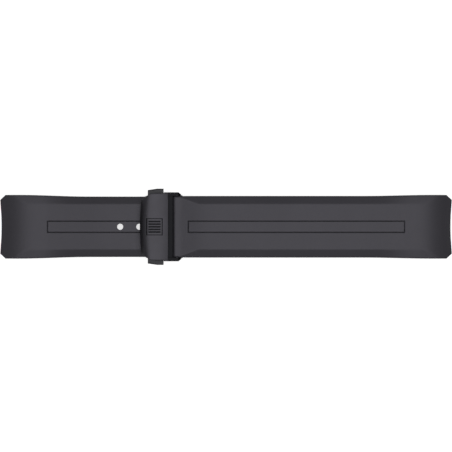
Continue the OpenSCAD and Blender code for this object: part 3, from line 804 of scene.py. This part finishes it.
# The two lugs, and the plate between them with its lap and rivet holes for the upper blade
for side in (-1, 1):
    ends = sorted((side * lug_in, side * lug_out))
    lug = block("lug", (button_x1 + 2 * slide_gap, ends[0], plate_z), (lug_x1, ends[1], lug_h))
    select("EDGE",
           lambda a, b: min(a[0], b[0]) > lug_x1 - touching and abs(a[2] - b[2]) < touching)
    bpy.ops.mesh.bevel(offset=lug_round, segments=8, profile=0.5)
    # Out of edit mode and back, as for the strap halves
    object_mode()
    edit_mode()
    cut_lug_slant(side)
    cut((cover_x1, 0, 0), (1, 0, 0))
    round_edges(lug, lug_edge, lambda p: p[2] > plate_z + touching, sharper_than=35, segments=3)
    unite(cover, lug)
cross = block("cross_plate", (cross_x0, -cross_half, plate_z - trim / 2),
              (plate_x1, cross_half, plate_top))
for side in (-1, 1):
    cut_lug_slant(side)
drill(cross, block("lap_step", (plate_x1 - lap_l, -2 * lug_in, plate_z - trim),
                   (plate_x1 + trim, 2 * lug_in, plate_z + blade_t / 2)))
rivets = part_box("upper_blade_rivets")
rivet_x, rivet_r = (rivets[0].x + rivets[1].x) / 2, (rivets[1].x - rivets[0].x) / 2
for y in (rivets[0].y + rivet_r, rivets[1].y - rivet_r):
    drill(cross, rod("rivet_hole", rivet_r + rivet_gap,
                     (rivet_x, y, plate_z - trim), (rivet_x, y, cover_h)))
unite(cover, cross)

# The foot is trimmed level, and the inside is cut hollow behind the roll's front
drill(cover, block("trimming", (cover_x0 - trim, -2 * lug_out, plate_z - 2 * trim),
                   (plate_x1 + trim, 2 * lug_out, plate_z)))
cavity = block("cavity", (cavity_x0, -cavity_half, plate_z - trim),
               (cavity_x1, cavity_half, cavity_top))
cut((cavity_x0, 0, cavity_top - cavity_bend_h), (-cavity_bend_h, 0, cavity_bend_l),
    keep_below=True)
drill(cover, cavity)

# The seat's cutter goes from 0 to 1 until its two sides take the height of the roll
seat = block("badge_seat", (badge_x0, -badge_w / 2, 0), (badge_x0 + badge_l, badge_w / 2, 1))
for step in range(1, badge_steps):
    cut((badge_x0 + badge_l * step / badge_steps, 0, 0), (1, 0, 0))
object_mode()
for vertex in seat.data.vertices:
    vertex.co.z = cover_top(vertex.co.x) + (trim if vertex.co.z > 0.5 else -badge_d)
drill(cover, seat)

# A window, an ear recess and a spring bar bore on either side
for side in (-1, 1):
    ends = sorted((side * (cavity_half - trim), side * (lug_out + trim)))
    drill(cover, block("window", (button_x0 - slide_gap, ends[0], button_z0 - slide_gap),
                       (button_x1 + slide_gap, ends[1], button_z1 + slide_gap)))
    ends = sorted((side * ear_in, side * (lug_out + trim)))
    drill(cover, block("ear_recess", (ear_x0 - ear_gap, ends[0], plate_z - trim),
                       (ear_x1 + ear_gap, ends[1], ear_top + ear_gap_top)))
    ends = sorted((side * (lug_in - trim), side * tip_bore_end))
    drill(cover, rod("tip_bore", tip_bore_r, (pivot_x, ends[0], pivot_z),
                     (pivot_x, ends[1], pivot_z), across=True, sides=32))
smooth(cover)

# Black-coated stainless steel, blasted: a satin, near-black metal with a soft broad highlight.
# The real pits are finer than a pixel, so they are drawn 0.2 mm wide to soften it unevenly.
satin = new_material("blasted_black_steel")
place = add_node(satin, "ShaderNodeTexCoord").outputs["Object"]
pits = add_node(satin, "ShaderNodeTexNoise", {"Scale": 1 / (0.2 * mm), "Detail": 2}, Vector=place)
clouds = add_node(satin, "ShaderNodeTexNoise", {"Scale": 1 / (6 * mm), "Detail": 2}, Vector=place)
tone = add_node(satin, "ShaderNodeValToRGB", Fac=clouds.outputs["Fac"])
for stop, position, code in zip(tone.color_ramp.elements, (0.3, 0.7), ("#403f43", "#434247")):
    stop.position, stop.color = position, colour(code)
gloss = add_node(satin, "ShaderNodeMapRange",
                 {"From Min": 0.3, "From Max": 0.7, "To Min": 0.42, "To Max": 0.5},
                 Value=pits.outputs["Fac"])
bump = add_node(satin, "ShaderNodeBump", {"Strength": 0.2, "Distance": 0.006 * mm},
                Height=pits.outputs["Fac"])
skin = add_node(satin, "ShaderNodeBsdfPrincipled", {"Metallic": 1},
                Base_Color=tone.outputs["Color"], Roughness=gloss.outputs["Result"],
                Normal=bump.outputs["Normal"])
add_node(satin, "ShaderNodeOutputMaterial", Surface=skin.outputs[0])
put_material(cover, satin)

# The same steel polished before coating: nearly black, with sharp dark reflections that faint
# polishing marks, drawn coarser than the real ones, blur a little. The same near-black also
# serves as painted shade in the slot behind the cover, in the badge's seat and in its grooves.
polished_steel_and_shade = new_material("polished_black_steel_and_painted_shade")
place = add_node(polished_steel_and_shade, "ShaderNodeTexCoord").outputs["Object"]
hairlines = add_node(polished_steel_and_shade, "ShaderNodeTexNoise", {"Scale": 1 / (0.5 * mm), "Detail": 2},
                     Vector=place)
gloss = add_node(polished_steel_and_shade, "ShaderNodeMapRange",
                 {"From Min": 0.3, "From Max": 0.7, "To Min": 0.14, "To Max": 0.22},
                 Value=hairlines.outputs["Fac"])
skin = add_node(polished_steel_and_shade, "ShaderNodeBsdfPrincipled",
                {"Metallic": 1, "Base Color": colour("#18181a")},
                Roughness=gloss.outputs["Result"])
add_node(polished_steel_and_shade, "ShaderNodeOutputMaterial", Surface=skin.outputs[0])
cover.data.materials.append(polished_steel_and_shade)
painted_shade_below = 0.1 * mm
# Polished are the back wall with its lugs. The plate between the lugs, deep in the slot, and the
# inside of the badge's seat take the same near-black steel as painted shade.
for face in cover.data.polygons:
    x, y, z = face.center
    in_seat = abs(y) < badge_w / 2 + 4 * near and badge_x0 < x < badge_x0 + badge_l
    if x > cover_x1 - 2 * near or in_seat and z < cover_top(x) - painted_shade_below:
        face.material_index = 1
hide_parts("clasp_cover")
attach(cover, "cover")

# Badge: a small square plate of the same blasted steel, pressed into its seat in the cover's
# roll. Plain fine grooves are stamped along it, and their floors take the polished near-black
# steel as painted shade.
badge_gap = 0.24 * mm
badge_groove_w = 0.5 * mm
badge_groove_d = 0.22 * mm
badge_groove_wall = 0.15  # share of its width that each sloped wall takes
badge_grooves = 5
badge_margin = 0.5 * mm
badge_rest = 0.02 * mm
badge_sunk = 0.05 * mm
badge_edge_r = 0.05 * mm
badge_edge_zone = 0.08 * mm
badge_low = badge_x0 + badge_gap
badge_high = badge_x0 + badge_l - badge_gap
badge_half = badge_w / 2 - badge_gap
badge = block("cover_plate", (badge_low, -badge_half, 0), (badge_high, badge_half, 1))
pitch = 2 * badge_half / (badge_grooves + 1)
lines = [side * badge_groove_w / 2 + number * pitch - badge_half
         for number in range(1, badge_grooves + 1) for side in (-1, 1)]
for y in lines:
    cut((0, y, 0), (0, 1, 0))
ends = [badge_low + badge_margin, badge_high - badge_margin]
bends = [mix(badge_low, badge_high, step / badge_steps) for step in range(1, badge_steps)]
for x in bends + ends:
    cut((x, 0, 0), (1, 0, 0))


def in_badge_groove(centre, normal):
    x, y, z = centre
    number = round((y + badge_half) / pitch)
    return (normal[2] > 0.9 and ends[0] < x < ends[1] and 0 < number <= badge_grooves
            and abs(y + badge_half - number * pitch) < badge_groove_w / 2)


select("FACE", in_badge_groove)
bpy.ops.mesh.inset(thickness=badge_groove_w * badge_groove_wall, depth=-badge_groove_d,
                   use_even_offset=False)
object_mode()
for vertex in badge.data.vertices:
    x, y, z = vertex.co
    vertex.co.z = cover_top(x) + (badge_rest - badge_d if z < 0.5 else z - 1 - badge_sunk)
round_edges(badge, badge_edge_r, lambda p: p[2] > cover_top(p[0]) - badge_edge_zone,
            sharper_than=40)
smooth(badge)
put_material(badge, satin)
badge.data.materials.append(polished_steel_and_shade)
# The groove floors, below the badge's face, get the near-black steel as painted shade
for face in badge.data.polygons:
    if face.center.z < cover_top(face.center.x) - painted_shade_below:
        face.material_index = 1
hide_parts("cover_badge")
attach(badge, "cover")

# Push buttons: black-coated steel, milled with fine ridges for the finger. Each slides in its
# window in the cover's side wall, and its latch hook sits behind it.
button_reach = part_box("rear_button")[1].y
button_inner = cavity_half - 0.05 * mm
button_rake = 0.47 * mm
button_round = 0.5 * mm
raked_to = mix(button_x0, button_x1, 0.6)
rounded_from = button_reach - button_rake - 0.1 * mm
hook_x0, hook_x1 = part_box("rear_latch_hook")[0].x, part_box("rear_latch_hook")[1].x
top_valleys, side_valleys = 3, 4
valley_w = 0.26 * mm
valley_d = 0.12 * mm
valley_wall = 0.03 * mm
ridge_smooth_angle = 25
valleys_y = [button_reach - button_round - (number + 0.75) * 2 * valley_w
             for number in range(top_valleys)]
valleys_z = [mix(button_z0, button_z1, (number + 0.5) / side_valleys)
             for number in range(side_valleys)]

# The cover's blasted black steel, which looks a shade darker on the small milled buttons
darker = satin.copy()
darker.name = "blasted_black_button_steel"
for node in darker.node_tree.nodes:
    if node.type == "VALTORGB":
        for stop, code in zip(node.color_ramp.elements, ("#38383a", "#3b3b3d")):
            stop.color = colour(code)

for side, name in ((-1, "front_button"), (1, "rear_button")):
    ends = sorted((side * button_inner, side * button_reach))
    button = block("ridged_" + name, (button_x0, ends[0], button_z0),
                   (button_x1, ends[1], button_z1))
    cut((raked_to, side * button_reach, 0), (-button_rake, side * (raked_to - button_x0), 0),
        keep_below=True)
    select("EDGE", lambda a, b: min(abs(a[1]), abs(b[1])) > rounded_from
           and abs(a[2] - b[2]) < touching)
    bpy.ops.mesh.bevel(offset=button_round, segments=4, profile=0.5)
    for y in valleys_y:
        for edge in (-0.5, 0.5):
            cut((0, side * (y - edge * valley_w), 0), (0, 1, 0))
    for z in valleys_z:
        for edge in (-0.5, 0.5):
            cut((0, 0, z + edge * valley_w), (0, 0, 1))

    def in_valley(centre, normal):
        x, y, z = centre
        if normal[2] > 0.9:
            return any(abs(abs(y) - middle) < valley_w / 2 for middle in valleys_y)
        return (side * normal[1] > 0.9
                and any(abs(z - middle) < valley_w / 2 for middle in valleys_z))

    select("FACE", in_valley)
    bpy.ops.mesh.inset(thickness=valley_wall, depth=-valley_d, use_even_offset=True)
    ends = sorted((side * button_inner, side * (cavity_half + slide_gap)))
    flange = block("flange", (hook_x0, ends[0], button_z0), (hook_x1, ends[1], button_z1))
    pick(button)
    flange.select_set(True)
    bpy.ops.object.join()
    smooth(button, ridge_smooth_angle)
    put_material(button, darker)
    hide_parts(name)
    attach(button, name)

# Inner works and blades: stamped and turned stainless steel. The blades, the base and the cover
# are coated black, and the pins, rods, rivets, screws and springs are left bare.

# Bare turned steel: bright grey, with a gloss that the tool's marks, drawn 0.4 mm coarse, vary
bare = new_material("turned_stainless_steel")
place = add_node(bare, "ShaderNodeTexCoord").outputs["Object"]
streaks = add_node(bare, "ShaderNodeTexNoise", {"Scale": 1 / (0.4 * mm), "Detail": 2},
                   Vector=place)
gloss = add_node(bare, "ShaderNodeMapRange",
                 {"From Min": 0.3, "From Max": 0.7, "To Min": 0.24, "To Max": 0.34},
                 Value=streaks.outputs["Fac"])
skin = add_node(bare, "ShaderNodeBsdfPrincipled", {"Metallic": 1, "Base Color": colour("#bcbec2")},
                Roughness=gloss.outputs["Result"])
add_node(bare, "ShaderNodeOutputMaterial", Surface=skin.outputs[0])

# Widths in millimetres of the bevels that break their edges. The springs are round wire.
flat_angle = math.radians(0.5)
edge_angle = math.radians(40)
bevels = {"clasp_base": 0.12, "lower_blade": 0.1, "upper_blade": 0.1, "front_latch_hook": 0.05,
          "rear_latch_hook": 0.05, "spring_bridge": 0.08, "hinge_pin": 0.1, "strap_stud": 0.08,
          "upper_blade_rivets": 0.05, "lower_blade_rivets": 0.05, "front_guide_rod": 0.05,
          "rear_guide_rod": 0.05, "bridge_screws": 0.03, "spring_bar_tube": 0.05,
          "spring_bar_tip_front": 0.04, "spring_bar_tip_rear": 0.04}
coated = ("clasp_base", "lower_blade", "upper_blade")
for name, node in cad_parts.items():
    if node.hide_render:
        continue
    put_material(node, satin if name in coated else bare)
    if name in bevels:
        weld = node.modifiers.new("weld", "WELD")
        weld.merge_threshold = touching
        flatten = node.modifiers.new("flatten", "DECIMATE")
        flatten.decimate_type = "DISSOLVE"
        flatten.angle_limit = flat_angle
        soften = node.modifiers.new("bevel", "BEVEL")
        soften.width = bevels[name] * mm
        soften.segments = 2
        soften.limit_method = "ANGLE"
        soften.angle_limit = edge_angle

# Each button spring, which shortens against the bridge as its button is pressed in, gets a mesh of
# its own
for name, side in (("front_button", -1), ("rear_button", 1)):
    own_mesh(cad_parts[name + "_spring"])
